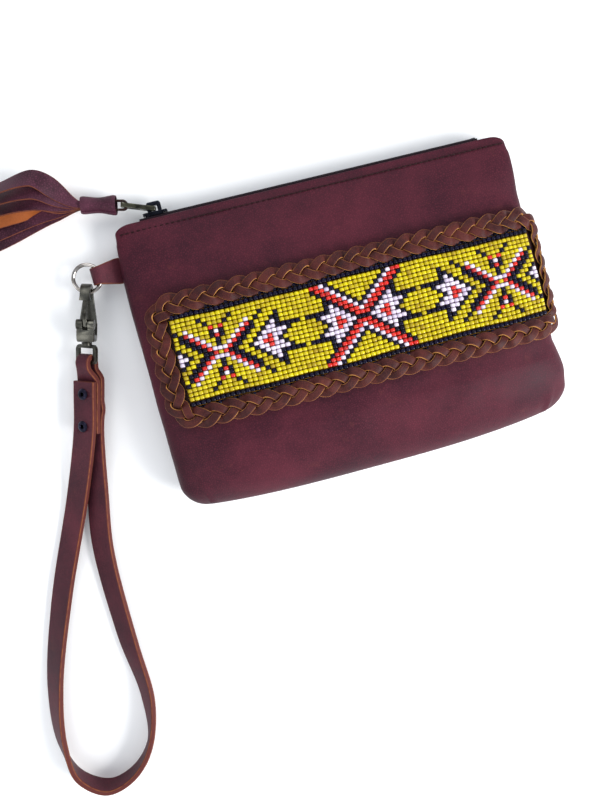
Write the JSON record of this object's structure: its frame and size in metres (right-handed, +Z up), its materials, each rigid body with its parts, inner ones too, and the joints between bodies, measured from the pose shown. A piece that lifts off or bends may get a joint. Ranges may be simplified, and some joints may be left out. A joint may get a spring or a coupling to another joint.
{
  "type": "beaded wrist clutch",
  "caption": "Zipped leather wrist clutch with a loom-beaded geometric band in a braided leather frame, a fringed zip pull and a clip-on wrist strap.",
  "frame": {"origin": "on the flat of the back, midway across the pouch and near the middle of its height", "axes": "+X along the zip from its closed end to its open end, +Y from the bottom fold to the zip, +Z up out of the beaded front; the clutch lies on its back"},
  "size_m": [0.2968, 0.3114, 0.0388],
  "materials": {
    "leather_maroon": "soft tumbled leather, faint sheen",
    "leather_lace": "flat cut lace, matte",
    "leather_fringe": "thin cut strips, tan flesh side",
    "bead_yellow": "opaque gloss seed beads",
    "bead_navy": "opaque gloss seed beads",
    "bead_red": "opaque gloss seed beads",
    "bead_white": "opaque gloss seed beads",
    "zip_tape": "woven tape",
    "zip_teeth": "dark satin",
    "slider_black": "black satin",
    "pull_brass": "aged brass",
    "ring_silver": "bright plated wire",
    "hook_metal": "antique plated, worn",
    "rivet_dark": "dark eyelet"
  },
  "bodies": {
    "pouch": {"leather_front": "leather_maroon", "leather_back": "leather_maroon", "backing_patch": "leather_lace", "bead_ground": "bead_yellow", "bead_edge_lower": "bead_navy", "bead_edge_upper": "bead_navy", "bead_cross": "bead_red", "bead_star_left": "bead_red", "bead_star_right": "bead_red", "bead_diamond_left_outer": "bead_white", "bead_diamond_left_inner": "bead_white", "bead_diamond_right_outer": "bead_white", "bead_diamond_right_inner": "bead_white", "bead_chevron_left_outer": "bead_navy", "bead_chevron_left_inner": "bead_navy", "bead_chevron_right_outer": "bead_navy", "bead_chevron_right_inner": "bead_navy", "braid_lace_1": "leather_lace", "braid_lace_2": "leather_lace", "braid_lace_3": "leather_lace", "zip_tape_front": "zip_tape", "zip_teeth_front": "zip_teeth", "zip_top_stop_front": "zip_teeth", "zip_tape_back": "zip_tape", "zip_teeth_back": "zip_teeth", "zip_top_stop_back": "zip_teeth", "zip_end_stop": "zip_teeth", "side_tab": "leather_maroon"},
    "slider": {"zip_slider": "slider_black"},
    "pull": {"zip_pull": "pull_brass"},
    "fringe": {"fringe_thong": "leather_fringe", "fringe_cap": "leather_fringe", "fringe_strip_1": "leather_fringe", "fringe_strip_2": "leather_fringe", "fringe_strip_3": "leather_fringe", "fringe_strip_4": "leather_fringe", "fringe_strip_5": "leather_fringe", "fringe_strip_6": "leather_fringe"},
    "ring": {"tab_ring": "ring_silver"},
    "hook": {"snap_hook": "hook_metal", "gate_pin": "hook_metal"},
    "gate": {"hook_gate": "hook_metal"},
    "eye": {"swivel_eye": "hook_metal"},
    "strap": {"wrist_strap": "leather_maroon", "strap_rivet_1": "rivet_dark", "strap_rivet_2": "rivet_dark"}
  },
  "joints": [
    {"name": "zip_slide", "type": "slide", "parent": "pouch", "child": "slider", "axis": [-1, 0, 0], "range_m": [-0.15, 0], "deforming": ["zip_teeth_front", "zip_teeth_back"]},
    {"name": "pull_flip", "type": "hinge", "parent": "slider", "child": "pull", "pos_m": [-0.07478, 0.07522, 0.007], "axis": [0, 0, 1], "range_deg": [-122, 12]},
    {"name": "fringe_swing", "type": "hinge", "parent": "pull", "child": "fringe", "pos_m": [-0.0884, 0.08018, 0.007], "axis": [0, 0, 1], "range_deg": [-18, 8]},
    {"name": "ring_swing", "type": "hinge", "parent": "pouch", "child": "ring", "pos_m": [-0.10703, 0.0515, 0.00828], "axis": [0, 1, 0], "range_deg": [-5, 80]},
    {"name": "hook_swing", "type": "hinge", "parent": "ring", "child": "hook", "pos_m": [-0.11343, 0.0515, 0.00828], "axis": [0, 0, 1], "range_deg": [-65, 7]},
    {"name": "gate_open", "type": "hinge", "parent": "hook", "child": "gate", "pos_m": [-0.11937, 0.03105, 0.01278], "axis": [-0.9603, 0.279, 0], "range_deg": [0, 25], "stiffness_Nm_per_rad": 0.06, "springref_deg": -17.19},
    {"name": "eye_turn", "type": "hinge", "parent": "hook", "child": "eye", "pos_m": [-0.12166, 0.02317, 0.00938], "axis": [0.279, 0.9603, 0], "continuous": true},
    {"name": "strap_swing", "type": "hinge", "parent": "eye", "child": "strap", "pos_m": [-0.12441, 0.01371, 0.00938], "axis": [0.8316, -0.2416, 0.5], "range_deg": [-12, 12]}
  ]
}
